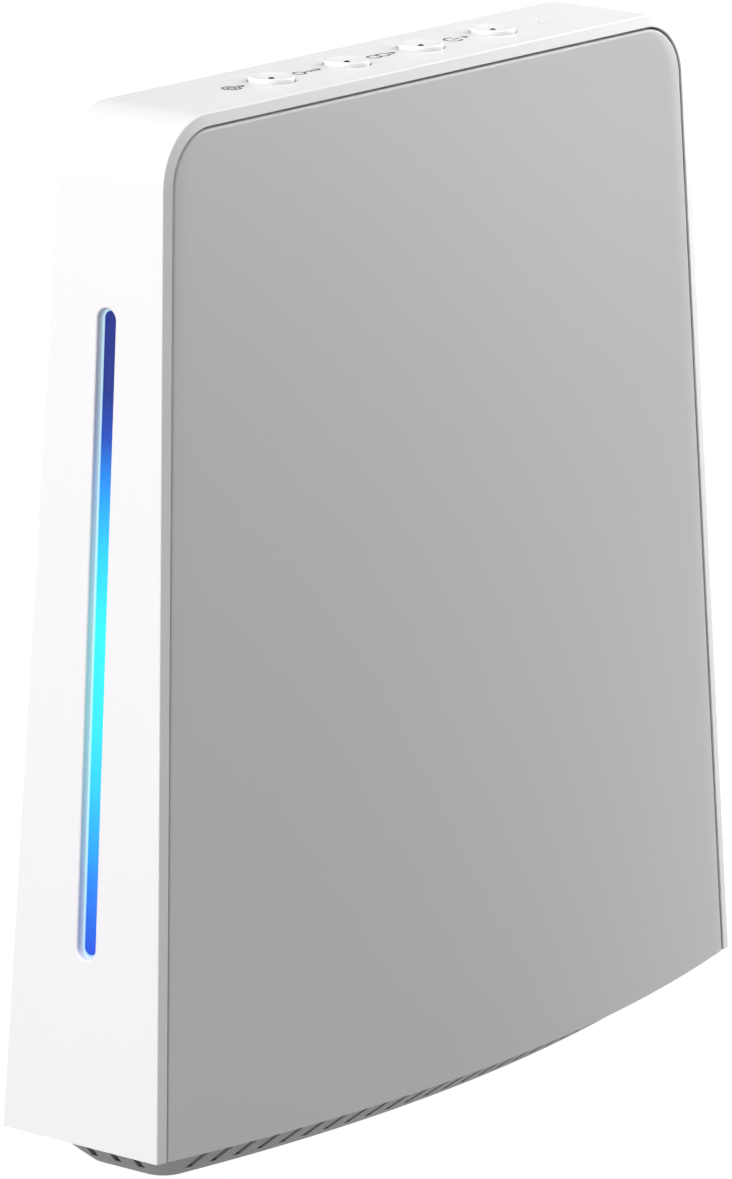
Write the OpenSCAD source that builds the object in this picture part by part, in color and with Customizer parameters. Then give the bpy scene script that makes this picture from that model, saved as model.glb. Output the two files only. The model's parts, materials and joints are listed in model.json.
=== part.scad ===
/* [Casing] */
// Height of the casing, from the surface it stands on to its top face
case_h = 107; // [90:0.5:130]
// Width across the foot of the two narrow sides
foot_w = 96; // [80:0.5:116]
// How far each narrow side leans in between its foot and the top
side_lean = 5.7; // [0:0.1:9]
// Depth of the narrow sides at their foot
foot_d = 20.4; // [19:0.1:26]
// How far each edge of a narrow side leans in between its foot and the top
face_lean = 3.6; // [0:0.1:5]
// How far each large panel bows out in the middle of its foot
bulge = 5.7; // [2:0.1:9]
// Radius of the two upper corners
corner_r = 7; // [4:0.1:12]
// Wall of the white band
wall = 2.4; // [2:0.1:3.2]
// Width of the rim that the band shows around each panel
rim = 1.25; // [0.8:0.05:1.6]
// Gap that is seen between the rim and the panel
panel_gap = 0.2; // [0.1:0.05:0.4]
// Thickness of the large panels
panel_t = 1.8; // [1.4:0.1:2.4]

/* [Base tray] */
// Height of the tray's sloping wall
tray_h = 4.2; // [3:0.1:5]
// How far the wall's foot is set in from the narrow sides
tray_in_x = 6.9; // [6:0.1:10]
// How far the wall's foot is set in from the large panels
tray_in_y = 4.7; // [4:0.1:6.5]
// How far the wall flares out from its foot to its upper edge
tray_flare = 3.8; // [3:0.1:5.2]
// Thickness of the tray
tray_t = 1.5; // [1.2:0.1:2]
// Width of one vent slot
vent_w = 0.9; // [0.6:0.1:1.4]
// Distance between vent slots along the large panels
vent_pitch = 3; // [2.6:0.1:6]
// Distance between vent slots along the narrow sides
end_vent_pitch = 3; // [2.4:0.1:4]
// How far the rubber feet stand out below the tray
foot_proud = 0.2; // [0.2:0.1:1]

/* [Light bar] */
// Length of the slot in the narrow side
light_len = 65; // [40:1:72]
// Width of the slot
light_w = 2.3; // [1.5:0.1:4]
// How far the lens lies below the surface
light_recess = 0.8; // [0.4:0.1:1.4]
// Number of light-emitting chips behind the lens
led_count = 14; // [6:1:15]

/* [Buttons] */
// Diameter of a button cap
cap_d = 4.6; // [4:0.1:6.5]
// Distance between neighbouring buttons
button_pitch = 12; // [8:0.5:13]
// How far a cap stands above the top face
cap_proud = 0.5; // [0.4:0.1:1]
// How far a button travels when pressed
travel = 0.3; // [0.2:0.05:0.35]
// Clearance around a cap in its hole
cap_gap = 0.15; // [0.1:0.05:0.3]
// Distance of the microphone hole from the middle of the top
mic_x = 26; // [24:0.5:30]
// Diameter of the microphone hole
mic_d = 0.8; // [0.5:0.1:1.5]

/* [Ports] */
// Clearance between a port and its window
port_gap = 0.25; // [0.15:0.05:0.5]
// How far the ports lie below the surface
port_recess = 0.4; // [0.2:0.1:0.8]
// Diameter of the reset pinhole
reset_d = 1.5; // [1.2:0.1:2.5]

/* [Hidden] */
$fn = 48;

// Heights of the casing
skirt_z = foot_proud + tray_h;
mid_z = (skirt_z + case_h)/2;
top_in_z = case_h - wall;
lean = atan(side_lean/(case_h - skirt_z));
corner_z = case_h - corner_r;
corner_x = half_w(corner_z) - corner_r/cos(lean);
panel_top = case_h - rim - panel_gap;

// Half width and half depth of the band at a height
function rise(z) = (z - skirt_z)/(case_h - skirt_z);
function half_w(z) = foot_w/2 - side_lean*rise(z);
function half_d(z) = foot_d/2 - face_lean*rise(z);

// Half width of the rounded outline that lies a margin inside the band's outer outline
function inset_w(z, margin) = z <= corner_z + (corner_r - margin)*sin(lean)
    ? half_w(z) - margin/cos(lean)
    : corner_x + sqrt(max(0, pow(corner_r - margin, 2) - pow(z - corner_z, 2)));

// Outer surface of a large panel, as its distance from the middle plane
panel_in = rim + panel_gap;
function bow(z) = bulge*max(0, 1 - (z - skirt_z)/(panel_top - skirt_z));
function panel_y(x, z) =
    half_d(z) + bow(z)*max(0, 1 - pow(x/(half_w(z) - panel_in/cos(lean)), 2));

// Fits between pieces, and how far a cut runs past the surface that it opens
slip = 0.05;
seat = panel_t + slip;
hole_slip = 0.03;
over = 1;

// Screws
pilot_r = 0.8;
screw_head_r = 1.7;
screw_head_h = 1;
board_screw_len = 5;
small_pilot_r = 0.6;
small_head_r = 1.4;
small_head_h = 0.8;
small_screw_len = 3.6;
cross_w = 0.4;
cross_size = 0.6;

// Main board
board_t = 1.6;
board_foot = skirt_z + 12.6;
board_top = case_h - 15;
board_h = board_top - board_foot;
light_room = 7.2;
board_left = -(half_w(board_top) - wall - light_room);
board_right = half_w(board_top) - wall - 1.2;
board_gap = 0.3;

// Board posts on the rear panel
post_r = 2.4;
post_pilot_len = 4;
post_inset = 4.5;
board_hole_r = 1.3;
post_x = [board_left + post_inset, board_right - 22];
post_z = [board_foot + post_inset, board_top - post_inset];

// Port sizes: along the wall, across it, and into the casing
reset_size = [4.2, 2.2, 3.5];
usb_a_size = [13.2, 5.9, 14];
rj45_size = [16.2, 12.6, 18];
usb_c_size = [9, 3.2, 7.5];
port_space = (board_h - rj45_size[0] - usb_c_size[0] - usb_a_size[0] - reset_size[0])/5;
rj45_z = board_foot + port_space + rj45_size[0]/2;
usb_c_z = rj45_z + port_space + (rj45_size[0] + usb_c_size[0])/2;
usb_a_z = usb_c_z + port_space + (usb_c_size[0] + usb_a_size[0])/2;
reset_z = usb_a_z + port_space + (usb_a_size[0] + reset_size[0])/2;
function port_x(z, size) = min(half_w(z + size[0]/2), half_w(z - size[0]/2)) - port_recess;

// Sockets
rj45_hole = [11.8, 8, 14];
rj45_latch = [4, 1.6];
rj45_contact_t = 0.35;
rj45_contact_pitch = 1.02;
rj45_contact_count = 8;
rj45_contact_len = 8.5;
rj45_contact_in = 3;
rj45_contact_turn = 18;
usb_wall = 0.35;
usb_a_tongue_size = [11.1, 1.8, 8.6];
usb_c_tongue_size = [6.6, 0.7, 4.6];
usb_c_wall = 0.3;
usb_a_back = 3;
usb_a_tongue_y = 1.2;
usb_c_back = 1.5;

// Reset switch
reset_y = -board_t/2 - reset_size[1]/2;
reset_x = half_w(reset_z) - wall - 1.6;
reset_plunger_r = 0.5;
reset_plunger_len = 2.4;
reset_plunger_show = 1.2;
reset_bore_r = reset_plunger_r + 0.06;
reset_bore_len = 1.6;

// Tabs that locate the panels inside the band
clip_z = [board_foot - 3, usb_c_z, corner_z - 8];
clip_t = 1.2;
clip_len = 5;
clip_reach = 2.6;
clip_gap = 0.2;
clip_root = 0.6*panel_t;

// Ribs that hold the light box, half way between the tabs
rib_z = [for (i = [0, 1]) (clip_z[i] + clip_z[i + 1])/2];
rib_len = 6;
rib_t = 1;
rib_gap = 0.1;

// Light bar
lens_slip = 0.05;
lens_flange = [5, 1];
light_box_size = [6.4, 3.2];
light_box_wall = 0.7;
led_board_t = 0.8;
led_size = [1.2, 2, 2.2];
led_pitch = (light_len - led_size[2])/led_count;
light_end = 2;
light_box_end = 1;
light_ledge = 0.4;

// Buttons, from the cap down to the board
button_names = ["settings", "lock", "pairing", "power"];
function button_x(i) = (i - (len(button_names) - 1)/2)*button_pitch;
flange_r = cap_d/2 + 0.8;
flange_t = 0.7;
flange_top = top_in_z - slip;
cap_foot = flange_top - flange_t;
dish_depth = 0.3;
dish_r = cap_d/2 - 0.45;
pin_r = 0.35;
plunger_r = 1.2;
plunger_bore = 0.7;
plunger_show = 1.1;
plunger_slip = 0.1;
switch_size = [4.5, 1.6];
switch_floor = 0.6;
plunger_h = plunger_show + switch_size[1] - switch_floor - travel - plunger_slip;
switch_top = cap_foot - plunger_show;
button_board_top = switch_top - switch_size[1];
button_board_t = 1.2;
button_board_w = 8;
button_post_x = mic_x + 6;
button_post_r = 2;
button_pilot_len = 3;
button_hole_r = 0.9;
button_board_len = 2*(button_post_x + 3);
chip_led = 0.8;
chip_led_h = 0.3;

// Microphone under its hole
mic_size = [3.5, 2.6, 1];
mic_gasket_r = 1.6;
mic_gasket_bore = 0.6;
mic_port_r = 0.4;

// Speaker, which faces down into the tray
speaker_x = -7;
speaker_r = 11;
speaker_foot = skirt_z + 3.6;
speaker_h = 3;
speaker_ear = 14;
ear_r = 2.4;
magnet_r = 6;
magnet_h = 2.4;
gasket_h = 0.6;
speaker_rim = 1.2;
speaker_back = 1;
ear_t = 1;
speaker_stand_w = 8;
speaker_stand_h = 2;

// Feet
tray_bow = 0.68;
tray_corner_r = 2.6;
least_corner_r = 0.6;
foot_inset = 2.2;
end_foot = [5.6, 7];
end_foot_x = foot_w/2 - tray_in_x - foot_inset - end_foot[0]/2;
long_foot = [26, 3];
long_foot_y = foot_d/2 + tray_bow*bulge - tray_in_y - foot_inset - long_foot[1]/2;
foot_sink = 0.5;
foot_slip = 0.1;

// Tray vents, locating lip and screws, whose heads lie above the end feet
vent_low = foot_proud + 1;
vent_tall = skirt_z - 0.2 - vent_low;
vent_end = 2;
end_vent_end = 0.4;
lip_h = 2;
lip_t = 1.2;
lip_gap = 0.3;
lip_root = 0.6;
lip_corner_r = 2;
tray_screw_x = end_foot_x;
tray_screw_z = foot_proud + 1;
tray_screw_len = 8;
tray_boss_r = 2.6;
tray_boss_h = 8;
tray_boss_z = skirt_z + lip_h + lip_root;
boss_web_t = 2;
screw_hole_r = pilot_r + 0.3;
screw_sink_r = screw_head_r + 0.4;

// Radios on the back of the board, with an antenna above each
radio_size = [14, 2.2, 14];
radio_top = board_top - 13;
radio_x = [board_left + 17, board_right - 34];
antenna_size = [18, 0.8, 6];
antenna_z = board_top - 4;
lead_r = 0.45;
antenna_lead_bend = 1.5;

// Power coils and memory chips
coil_x = board_left + 30;
coil_z = board_foot + 9;
coil_r = 2.8;
coil_h = 3;
coil_pitch = 9;
coil_count = 3;
memory_size = [12, 1.1, 8.5];

// Plugs on the main board and the flat cables to them
ribbon_t = 0.3;
led_plug_x = 2;
led_plug_size = [4, 2.4, 6];
led_ribbon_gap = slip + led_plug_size[2]/2*tan(lean);
button_plug_x = 10;
button_plug_size = [9, 3, 4];
button_plug_top = board_top - 3;
speaker_plug_size = [6, 3.4, 4.5];
speaker_plug_z = board_foot + 1;
speaker_lead_x = 1.5;

// Heat sink on the processor
chip = [14, 1.4, 14];
pad_t = 0.6;
sink_size = [38, 1.5, 30];
fin_h = 1.8;
fin_t = 1;
fin_count = 10;
sink_z = mid_z + 1;
sink_x = board_left + 26;
sink_y = -board_t/2 - chip[1] - pad_t;

// ---------- helpers ----------

// Draws a shape of x and z, extruded along y about the middle plane
module along_y(depth) {
    rotate([90, 0, 0]) linear_extrude(height = depth, center = true) children();
}

// Draws a shape of y and z, extruded along x about the middle plane
module along_x(length) {
    rotate([90, 0, 90]) linear_extrude(height = length, center = true) children();
}

// Places its children on a narrow side: x outwards from the surface, z up the wall
module on_side(side, z) {
    mirror([side < 0 ? 1 : 0, 0, 0])
        translate([half_w(z), 0, z])
        rotate([0, -lean, 0])
        children();
}

// A block that is centred in y and z and reaches from x = from to x = to
module bar(from, to, across, tall) {
    translate([from, -across/2, -tall/2]) cube([to - from, across, tall]);
}

// A round-ended bar along z that reaches from x = from to x = to
module slot_bar(from, to, across, tall) {
    bar(from, to, across, tall - across);
    for (end = [-1, 1])
        translate([from, 0, end*(tall - across)/2])
            rotate([0, 90, 0])
            cylinder(d = across, h = to - from);
}

// The band's outline in x and z, set in by a margin and cut off at a height
module band_outline(margin, low) {
    r = corner_r - margin;
    side = [corner_x + r*cos(lean), corner_z + r*sin(lean)];
    foot = half_w(low) - margin/cos(lean);
    polygon([
        [-foot, low], [foot, low], side, [corner_x, corner_z + r],
        [-corner_x, corner_z + r], [-side[0], side[1]]
    ]);
    for (end = [-1, 1])
        translate([end*corner_x, corner_z]) circle(r = r);
}

// The space between the band's two leaning faces, each set in by a margin
module face_wedge(margin) {
    low = skirt_z - 1;
    high = case_h + 1;
    along_x(foot_w + 2*side_lean + 4)
        polygon([
            [-half_d(low) + margin, low], [half_d(low) - margin, low],
            [half_d(high) - margin, high], [-half_d(high) + margin, high]
        ]);
}

// A tube of radius r along a list of points
function unit(v) = v/norm(v);
function direction(path, i) =
    unit(path[min(i + 1, len(path) - 1)] - path[max(i - 1, 0)]);
module tube(path, r, sides = 8) {
    rings = len(path);
    points = [
        for (i = [0:rings - 1])
            let (d = direction(path, i),
                 a = unit(cross(d, abs(d[1]) < 0.9 ? [0, 1, 0] : [1, 0, 0])),
                 b = cross(d, a))
            for (k = [0:sides - 1])
                path[i] + r*(cos(360*k/sides)*a + sin(360*k/sides)*b)
    ];
    polyhedron(points, concat(
        [[for (k = [0:sides - 1]) k]],
        [[for (k = [sides - 1:-1:0]) (rings - 1)*sides + k]],
        [for (i = [0:rings - 2], k = [0:sides - 1])
            [i*sides + k, (i + 1)*sides + k, (i + 1)*sides + (k + 1)%sides, i*sides + (k + 1)%sides]]
    ));
}

// A flat cable of a width along z, whose thickness lies across its path
module flat_cable(path, width) {
    side = [0, ribbon_t/2];
    last = len(path) - 1;
    linear_extrude(height = width, center = true)
        polygon(concat(
            [for (point = path) point + side],
            [for (i = [last:-1:0]) path[i] - side]
        ));
}

// A cross-headed screw along +z with its head's top at z = 0 and its shank below
module screw(head_r, head_h, shank_r, length) {
    difference() {
        union() {
            translate([0, 0, -head_h]) cylinder(r = head_r, h = head_h);
            translate([0, 0, -head_h - length]) cylinder(r = shank_r, h = length + slip);
        }
        for (turn = [0, 90])
            rotate(turn)
                translate([-head_r*cross_size, -cross_w/2, -head_h*cross_size])
                cube([2*head_r*cross_size, cross_w, head_h]);
    }
}

// ---------- casing ----------

// Posts under the top wall that the button board is screwed to
module button_board_posts()
    for (end = [-1, 1])
        translate([end*button_post_x, 0, button_board_top])
            difference() {
                cylinder(r = button_post_r, h = case_h - wall/2 - button_board_top);
                translate([0, 0, -over]) cylinder(r = small_pilot_r, h = button_pilot_len + over);
            }

// The cut that each port needs in the right-hand wall
module port_window(z, size) {
    translate([half_w(z), 0, z])
        bar(-wall - 2*over, 2*over, size[1] + 2*port_gap, size[0] + 2*port_gap);
}

module tray_boss_place() {
    for (end = [-1, 1])
        translate([end*tray_screw_x, 0, 0]) children();
}

// A boss for each tray screw, joined to the wall by a web
module tray_bosses() {
    difference() {
        union() {
            tray_boss_place()
                translate([0, 0, tray_boss_z])
                cylinder(r = tray_boss_r, h = tray_boss_h);
            for (end = [-1, 1])
                translate([0, 0, tray_boss_z + tray_boss_h/2])
                    mirror([end < 0 ? 1 : 0, 0, 0])
                    bar(tray_screw_x, half_w(tray_boss_z + tray_boss_h) - wall/2, boss_web_t, tray_boss_h);
        }
        tray_boss_place()
            translate([0, 0, skirt_z])
            cylinder(r = pilot_r, h = tray_boss_h + lip_h);
    }
}

module shell_band() color([0.95, 0.95, 0.96]) {
    difference() {
        union() {
            intersection() {
                along_y(2*foot_d) difference() {
                    band_outline(0, skirt_z);
                    band_outline(rim, skirt_z - over);
                }
                face_wedge(0);
            }
            intersection() {
                along_y(2*foot_d) difference() {
                    band_outline(0, skirt_z);
                    band_outline(wall, skirt_z - over);
                }
                face_wedge(seat);
            }
        }
        on_side(-1, mid_z) slot_bar(-wall - over, over, light_w, light_len);
        for (i = [0:len(button_names) - 1])
            translate([button_x(i), 0, top_in_z - over])
                cylinder(d = cap_d + 2*cap_gap, h = wall + 2*over);
        translate([mic_x, 0, top_in_z - over]) cylinder(d = mic_d, h = wall + 2*over);
        port_window(usb_c_z, usb_c_size);
        port_window(rj45_z, rj45_size);
        port_window(usb_a_z, usb_a_size);
        translate([half_w(reset_z) - wall - over, reset_y, reset_z])
            rotate([0, 90, 0])
            cylinder(d = reset_d, h = wall + 2*over);
    }
    tray_bosses();
    for (z = rib_z, end = [-1, 1])
        on_side(-1, z)
            translate([0, end*(light_box_size[0]/2 + rib_gap + rib_t/2), 0])
            bar(-wall - light_box_size[1] - rib_t, -wall/2, rib_t, rib_len);
    button_board_posts();
}

// The bowed panel, whose surfaces are rows of points from the foot to the rounded top
panel_columns = 16;
panel_rows = 10;
corner_rows = 8;
panel_corner = corner_r - panel_in;
panel_bend_z = corner_z + panel_corner*sin(lean);
panel_heights = concat(
    [for (i = [0:panel_rows]) skirt_z + (panel_bend_z - skirt_z)*i/panel_rows],
    [for (i = [1:corner_rows])
        corner_z + panel_corner*sin(lean + (90 - lean)*i/corner_rows)]
);
module bowed_panel() {
    across = panel_columns + 1;
    rows = len(panel_heights);
    layer = across*rows;
    function place(i, j) =
        let (z = panel_heights[j],
             x = inset_w(z, panel_in)*(2*i/panel_columns - 1))
        [x, -panel_y(x, z), z];
    points = [
        for (depth = [0, panel_t], j = [0:rows - 1], i = [0:panel_columns])
            place(i, j) + [0, depth, 0]
    ];
    function quad(a, b, c, d) = [[a, b, c], [a, c, d]];
    function id(i, j, k) = k*layer + j*across + i;
    faces = concat(
        [for (j = [0:rows - 2], i = [0:panel_columns - 1], t = [0, 1])
            quad(id(i, j, 0), id(i, j + 1, 0), id(i + 1, j + 1, 0), id(i + 1, j, 0))[t]],
        [for (j = [0:rows - 2], i = [0:panel_columns - 1], t = [0, 1])
            quad(id(i, j, 1), id(i + 1, j, 1), id(i + 1, j + 1, 1), id(i, j + 1, 1))[t]],
        [for (i = [0:panel_columns - 1], t = [0, 1])
            quad(id(i, 0, 0), id(i + 1, 0, 0), id(i + 1, 0, 1), id(i, 0, 1))[t]],
        [for (i = [0:panel_columns - 1], t = [0, 1])
            quad(id(i, rows - 1, 0), id(i, rows - 1, 1), id(i + 1, rows - 1, 1), id(i + 1, rows - 1, 0))[t]],
        [for (j = [0:rows - 2], t = [0, 1])
            quad(id(0, j, 0), id(0, j, 1), id(0, j + 1, 1), id(0, j + 1, 0))[t]],
        [for (j = [0:rows - 2], t = [0, 1])
            quad(id(panel_columns, j, 0), id(panel_columns, j + 1, 0),
                 id(panel_columns, j + 1, 1), id(panel_columns, j, 1))[t]]
    );
    polyhedron(points, faces);
}

// Tabs behind a panel that clip against the inside of the band
module panel_clips() {
    for (z = clip_z, end = [-1, 1]) {
        x = half_w(z + clip_len/2) - wall/cos(lean) - clip_t - clip_gap;
        y = panel_y(x, z);
        mirror([end < 0 ? 1 : 0, 0, 0])
            translate([x, -y + clip_root, z - clip_len/2])
            cube([clip_t, clip_reach, clip_len]);
    }
}

module front_panel() color([0.72, 0.71, 0.72]) {
    bowed_panel();
    panel_clips();
}

module rear_panel() color([0.72, 0.71, 0.72]) {
    mirror([0, 1, 0]) {
        bowed_panel();
        panel_clips();
    }
    for (x = post_x, z = post_z) {
        far = panel_y(x, z) - panel_t/2;
        translate([x, board_t/2, z])
            rotate([-90, 0, 0])
            difference() {
                cylinder(r = post_r, h = far - board_t/2);
                translate([0, 0, -over]) cylinder(r = pilot_r, h = post_pilot_len + over);
            }
    }
}

// ---------- base tray ----------

// Plan outline with bowed long sides and rounded corners
module plan(half_x, half_y, bow_y, r) {
    steps = 16;
    side = [for (i = [0:steps])
        let (u = 2*i/steps - 1) [u*(half_x - r), half_y - r + bow_y*(1 - u*u)]];
    offset(r = r, $fn = 24)
        polygon(concat(side, [for (i = [steps:-1:0]) [side[i][0], -side[i][1]]]));
}

// The sloping bowl that the tray is cut from, shrunk by a margin
level_t = 0.01;
module bowl(low, high, margin) {
    levels = [[low, 0, tray_bow*bulge], [high, tray_flare, bulge]];
    hull()
        for (level = levels)
            translate([0, 0, level[0]])
                linear_extrude(height = level_t)
                plan(foot_w/2 - tray_in_x + level[1] - margin,
                     foot_d/2 - tray_in_y + level[1] - margin,
                     level[2], max(least_corner_r, tray_corner_r - margin));
}

// Slots through the sloping wall, square to the side that they are in
module vent_cuts() {
    long_reach = foot_w/2 - tray_in_x - vent_end;
    end_reach = foot_d/2 - tray_in_y - end_vent_end;
    end_from = tray_screw_x + tray_boss_r + slip;
    for (side = [-1, 1]) {
        for (x = [-floor(long_reach/vent_pitch)*vent_pitch:vent_pitch:long_reach])
            translate([x - vent_w/2, side > 0 ? foot_d/8 : -foot_d*9/8, vent_low])
                cube([vent_w, foot_d, vent_tall]);
        for (y = [-floor(end_reach/end_vent_pitch)*end_vent_pitch:end_vent_pitch:end_reach])
            translate([side > 0 ? end_from : -foot_w/2, y - vent_w/2, vent_low])
                cube([foot_w/2 - end_from, vent_w, vent_tall]);
    }
}

module lip(half_x, half_y, bow_y) {
    translate([0, 0, skirt_z - lip_root])
        linear_extrude(height = lip_h + lip_root)
        difference() {
            plan(half_x, half_y, bow_y, lip_corner_r);
            plan(half_x - lip_t, half_y - lip_t, bow_y, lip_corner_r/2);
        }
}

// The ring that the speaker's gasket lies on, with windows that let the sound out to the vents
module speaker_stand() {
    low = foot_proud + tray_t - slip;
    translate([speaker_x, 0, low])
        difference() {
            cylinder(r = speaker_r, h = speaker_foot - gasket_h - low);
            translate([0, 0, -over]) cylinder(r = speaker_r - speaker_rim, h = speaker_foot);
            for (turn = [0, 90])
                rotate(turn)
                    translate([0, 0, slip + speaker_stand_h/2])
                    cube([3*speaker_r, speaker_stand_w, speaker_stand_h], center = true);
        }
}

module base_tray() color([0.6, 0.6, 0.61]) {
    difference() {
        union() {
            difference() {
                bowl(foot_proud, skirt_z - slip, 0);
                bowl(foot_proud + tray_t, skirt_z + slip, tray_t);
                vent_cuts();
            }
            lip(foot_w/2 - wall - lip_gap - 1, foot_d/2 - panel_t - lip_gap, bulge);
            tray_boss_place()
                translate([0, 0, foot_proud])
                cylinder(r = tray_boss_r, h = tray_boss_z - foot_proud);
            for (end = [-1, 1])
                translate([speaker_x + end*speaker_ear, 0, foot_proud])
                    cylinder(r = ear_r, h = speaker_foot - foot_proud);
            speaker_stand();
        }
        tray_boss_place() {
            translate([0, 0, -over]) cylinder(r = screw_hole_r, h = case_h/4);
            translate([0, 0, -over]) cylinder(r = screw_sink_r, h = tray_screw_z + screw_head_h + over);
        }
        for (end = [-1, 1])
            translate([speaker_x + end*speaker_ear, 0, foot_proud + tray_t])
                cylinder(r = pilot_r, h = case_h/4);
        foot_blocks(foot_proud - over, foot_sink + over, foot_slip);
    }
}

// The feet, each a block that is let into the tray
module foot_blocks(low, tall, gap) {
    for (end = [-1, 1]) {
        translate([end*end_foot_x, 0, low + tall/2])
            cube([end_foot[0] + 2*gap, end_foot[1] + 2*gap, tall], center = true);
        translate([0, end*long_foot_y, low + tall/2])
            cube([long_foot[0] + 2*gap, long_foot[1] + 2*gap, tall], center = true);
    }
}

module rubber_feet() color([0.35, 0.35, 0.36])
    foot_blocks(0, foot_proud + foot_sink, 0);

module tray_screws() color("silver")
    tray_boss_place()
        translate([0, 0, tray_screw_z])
        rotate([180, 0, 0])
        screw(screw_head_r, screw_head_h, pilot_r - hole_slip, tray_screw_len);

// ---------- light bar ----------

module light_lens() color([0.3, 0.75, 1]) on_side(-1, mid_z) {
    slot_bar(-wall - slip, -light_recess, light_w - 2*lens_slip, light_len - 2*lens_slip);
    bar(light_box_x, -wall - slip, lens_flange[0], light_len + 2*light_end);
}

light_box_x = -wall - slip - lens_flange[1];
led_board_x = light_box_x - light_box_size[1];
led_board_w = light_box_size[0] - 2*light_box_wall;
module light_box() color("white") on_side(-1, mid_z)
    difference() {
        bar(led_board_x, light_box_x, light_box_size[0], light_len + 2*(light_end + light_box_end));
        bar(led_board_x + led_board_t, light_box_x + over,
            led_board_w - 2*light_ledge, light_len + light_box_end);
        bar(led_board_x - over, led_board_x + led_board_t, led_board_w, light_len + 2*light_end);
    }

module led_board() color([0.1, 0.35, 0.2]) on_side(-1, mid_z)
    bar(led_board_x, led_board_x + led_board_t, led_board_w - 2*slip, light_len + 2*light_end - 2*slip);

module led_chips() color([0.95, 0.93, 0.8]) on_side(-1, mid_z)
    for (i = [0:led_count - 1])
        translate([0, 0, (i - (led_count - 1)/2)*led_pitch])
            bar(led_board_x + led_board_t, led_board_x + led_board_t + led_size[0], led_size[1], led_size[2]);

// Flat cable from the light board to the main board
module led_ribbon() color([0.85, 0.85, 0.85]) {
    start = -half_w(mid_z) - led_board_x/cos(lean) + led_ribbon_gap;
    end = board_left + led_plug_x;
    y = -board_t/2 - led_plug_size[1]/2;
    translate([0, 0, mid_z])
        flat_cable([[start, 0], [start + 2, 0], [start + 4, y], [end, y]], led_plug_size[2] - 1);
}

// ---------- buttons ----------

module button_cap(i) color([0.95, 0.95, 0.96])
    translate([button_x(i), 0, 0])
    difference() {
        union() {
            translate([0, 0, cap_foot])
                cylinder(d = cap_d, h = case_h + cap_proud - cap_foot);
            translate([0, 0, cap_foot])
                cylinder(r = flange_r, h = flange_t);
        }
        // the dished top
        ball = (dish_r*dish_r + dish_depth*dish_depth)/(2*dish_depth);
        translate([0, 0, case_h + cap_proud - dish_depth + ball]) sphere(r = ball);
        translate([0, 0, cap_foot - over]) cylinder(r = pin_r, h = wall + 4*over);
    }

module light_pin(i) color([0.2, 0.2, 0.22])
    translate([button_x(i), 0, cap_foot])
    cylinder(r = pin_r - hole_slip, h = case_h + cap_proud - dish_depth - cap_foot);

module plunger(i) color("dimgray")
    translate([button_x(i), 0, cap_foot - plunger_h])
    difference() {
        cylinder(r = plunger_r, h = plunger_h);
        translate([0, 0, -over]) cylinder(r = plunger_bore, h = plunger_h + 2*over);
    }

module switch_bodies() color([0.15, 0.15, 0.16])
    for (i = [0:len(button_names) - 1])
        translate([button_x(i), 0, button_board_top])
            difference() {
                translate([0, 0, switch_size[1]/2])
                    cube([switch_size[0], switch_size[0], switch_size[1]], center = true);
                translate([0, 0, switch_floor])
                    cylinder(r = plunger_r + plunger_slip, h = switch_size[1]);
            }

module switch_leds() color([0.95, 0.93, 0.8])
    for (i = [0:len(button_names) - 1])
        translate([button_x(i), 0, button_board_top + switch_floor + chip_led_h/2])
            cube([chip_led, chip_led, chip_led_h], center = true);

module button_board() color([0.1, 0.35, 0.2])
    difference() {
        translate([0, 0, button_board_top - button_board_t/2])
            cube([button_board_len, button_board_w, button_board_t], center = true);
        for (end = [-1, 1])
            translate([end*button_post_x, 0, button_board_top - button_board_t - over])
                cylinder(r = button_hole_r, h = button_board_t + 2*over);
    }

module button_board_screws() color("silver")
    for (end = [-1, 1])
        translate([end*button_post_x, 0, button_board_top - button_board_t - small_head_h])
            rotate([180, 0, 0])
            screw(small_head_r, small_head_h, small_pilot_r - hole_slip, small_screw_len);

// Flat cable from the button board down to the main board
module button_ribbon() color([0.85, 0.85, 0.85]) {
    high = button_board_top - button_board_t;
    low = button_plug_top;
    y = -board_t/2 - button_plug_size[1]/2;
    translate([button_plug_x, 0, 0])
        rotate([0, -90, 0])
        flat_cable([[low, y], [low + 2, y], [high - 2, y - 0.6], [high, y - 0.6]], button_plug_size[0] - 1);
}

module microphone() color("silver")
    translate([mic_x, 0, button_board_top + mic_size[2]/2])
    difference() {
        cube(mic_size, center = true);
        cylinder(r = mic_port_r, h = mic_size[2]);
    }

module microphone_gasket() color([0.2, 0.2, 0.2])
    translate([mic_x, 0, button_board_top + mic_size[2]])
    difference() {
        cylinder(r = mic_gasket_r, h = top_in_z - button_board_top - mic_size[2]);
        translate([0, 0, -over]) cylinder(r = mic_gasket_bore, h = wall + 4*over);
    }

// ---------- main board ----------

// The part of the board that a port takes up
module board_notch(z, size) {
    x = port_x(z, size) - size[2] - board_gap;
    translate([x, 0, z])
        bar(0, board_right - x + over, board_t + 2*over, size[0] + 2*board_gap);
}

module main_board() color([0.1, 0.35, 0.2])
    difference() {
        translate([board_left, -board_t/2, board_foot])
            cube([board_right - board_left, board_t, board_h]);
        board_notch(usb_c_z, usb_c_size);
        board_notch(rj45_z, rj45_size);
        board_notch(usb_a_z, usb_a_size);
        for (x = post_x, z = post_z)
            translate([x, 0, z])
                rotate([90, 0, 0])
                cylinder(r = board_hole_r, h = board_t + 2*over, center = true);
    }

module board_screws() color("silver")
    for (x = post_x, z = post_z)
        translate([x, -board_t/2 - screw_head_h, z])
            rotate([90, 0, 0])
            screw(screw_head_r, screw_head_h, pilot_r - hole_slip, board_screw_len);

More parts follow.
